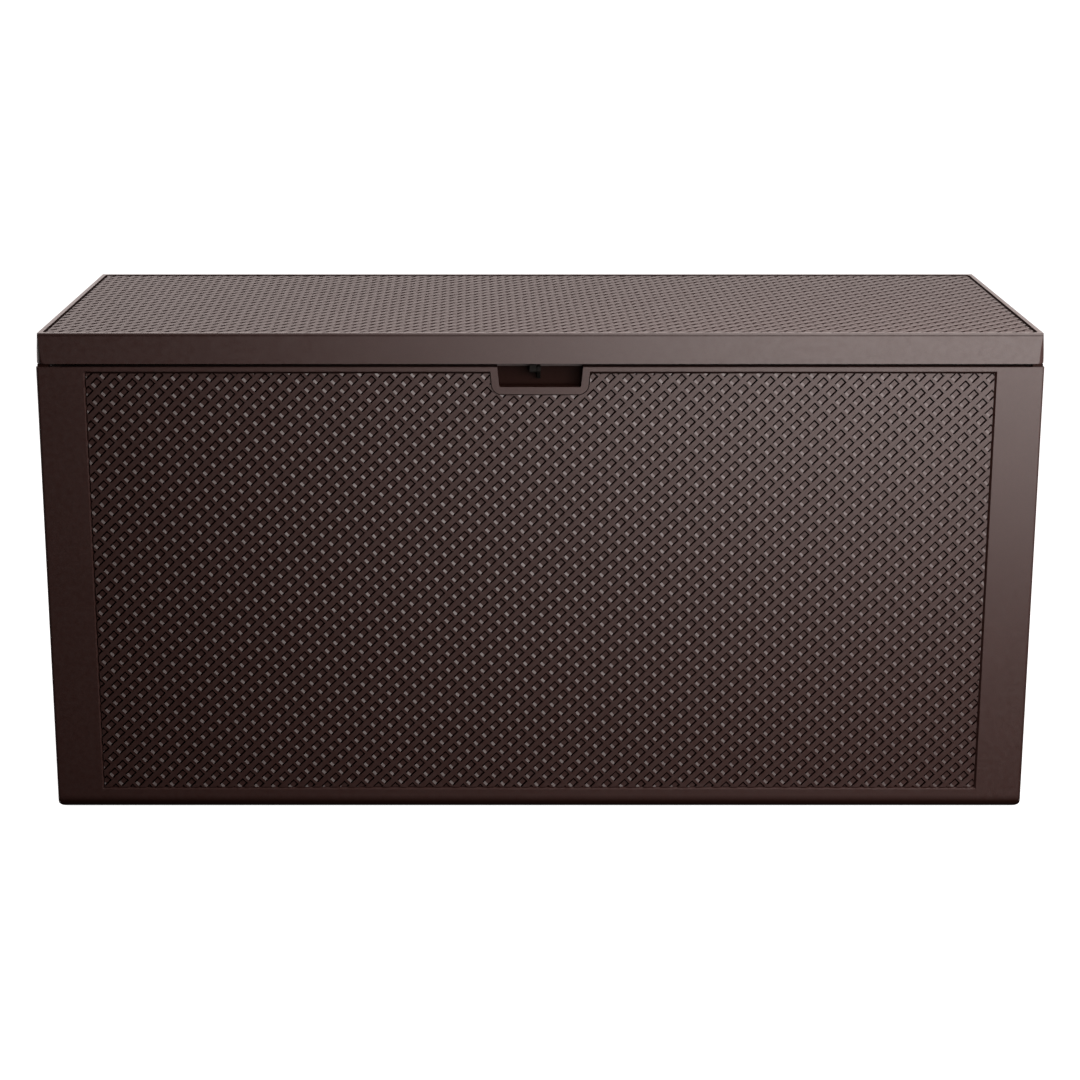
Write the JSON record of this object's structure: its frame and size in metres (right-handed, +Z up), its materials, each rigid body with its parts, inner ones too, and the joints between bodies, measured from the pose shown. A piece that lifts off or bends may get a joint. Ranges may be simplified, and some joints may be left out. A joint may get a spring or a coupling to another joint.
{
  "type": "deck storage box",
  "caption": "Low moulded-resin deck storage box with woven-pattern panels, a hinged lid on gas stays, a front grip notch and a padlock eye.",
  "frame": {"origin": "centre of the footprint, on the ground", "axes": "+Z up, front towards -Y, long side along X"},
  "size_m": [1.17, 0.45, 0.585],
  "materials": {
    "brown_resin": "dark brown moulded resin with a fine satin grain",
    "dark_resin": "darker brown moulded resin",
    "black_nylon": "black glass-filled nylon",
    "zinc_steel": "zinc-plated steel",
    "chromed_rod": "hard-chromed steel",
    "black_paint": "black satin paint on steel tube"
  },
  "bodies": {
    "box": {"floor_panel": "dark_resin", "front_panel": "brown_resin", "back_panel": "brown_resin", "left_side_panel": "brown_resin", "right_side_panel": "brown_resin", "corner_screws": "zinc_steel", "floor_screws": "zinc_steel", "padlock_eye_box": "black_nylon", "hinge_wall_screws": "zinc_steel", "stay_wall_screws": "zinc_steel", "hinge_wall_leaf_left": "black_nylon", "hinge_wall_leaf_centre": "black_nylon", "hinge_wall_leaf_right": "black_nylon", "hinge_pin_left": "zinc_steel", "hinge_pin_centre": "zinc_steel", "hinge_pin_right": "zinc_steel", "stay_wall_bracket_left": "zinc_steel", "stay_wall_bracket_right": "zinc_steel", "stay_wall_pin_left": "zinc_steel", "stay_wall_pin_right": "zinc_steel"},
    "lid": {"lid_shell": "brown_resin", "padlock_eye_lid": "black_nylon", "padlock_eye_screws": "zinc_steel", "hinge_lid_screws": "zinc_steel", "stay_lid_screws": "zinc_steel", "hinge_lid_leaf_left": "black_nylon", "hinge_lid_leaf_centre": "black_nylon", "hinge_lid_leaf_right": "black_nylon", "stay_lid_bracket_left": "zinc_steel", "stay_lid_bracket_right": "zinc_steel", "stay_lid_pin_left": "zinc_steel", "stay_lid_pin_right": "zinc_steel"},
    "stay_rod_left": {"stay_rod_left": "chromed_rod", "stay_rod_end_left": "black_nylon", "stay_piston_left": "black_nylon"},
    "stay_tube_left": {"stay_tube_left": "black_paint", "stay_tube_end_left": "black_nylon", "stay_gland_left": "black_nylon"},
    "stay_rod_right": {"stay_rod_right": "chromed_rod", "stay_rod_end_right": "black_nylon", "stay_piston_right": "black_nylon"},
    "stay_tube_right": {"stay_tube_right": "black_paint", "stay_tube_end_right": "black_nylon", "stay_gland_right": "black_nylon"}
  },
  "joints": [
    {"name": "lid_hinge", "type": "hinge", "parent": "box", "child": "lid", "pos_m": [0, 0.219, 0.5425], "axis": [-1, 0, 0], "range_deg": [0, 85]},
    {"name": "stay_rod_left_pivot", "type": "hinge", "parent": "box", "child": "stay_rod_left", "pos_m": [-0.546, 0.14033, 0.32637], "axis": [-1, 0, 0], "range_deg": [0, 42.5]},
    {"name": "stay_tube_left_pivot", "type": "hinge", "parent": "lid", "child": "stay_tube_left", "pos_m": [-0.546, -0.011, 0.5425], "axis": [-1, 0, 0], "range_deg": [-42.5, 0]},
    {"name": "stay_rod_right_pivot", "type": "hinge", "parent": "box", "child": "stay_rod_right", "pos_m": [0.546, 0.14033, 0.32637], "axis": [-1, 0, 0], "range_deg": [0, 42.5]},
    {"name": "stay_tube_right_pivot", "type": "hinge", "parent": "lid", "child": "stay_tube_right", "pos_m": [0.546, -0.011, 0.5425], "axis": [-1, 0, 0], "range_deg": [-42.5, 0]}
  ],
  "couplings": [
    {"joint": "stay_rod_left_pivot", "follows": "lid_hinge", "ratio": 0.5},
    {"joint": "stay_tube_left_pivot", "follows": "lid_hinge", "ratio": -0.5},
    {"joint": "stay_rod_right_pivot", "follows": "lid_hinge", "ratio": 0.5},
    {"joint": "stay_tube_right_pivot", "follows": "lid_hinge", "ratio": -0.5}
  ]
}
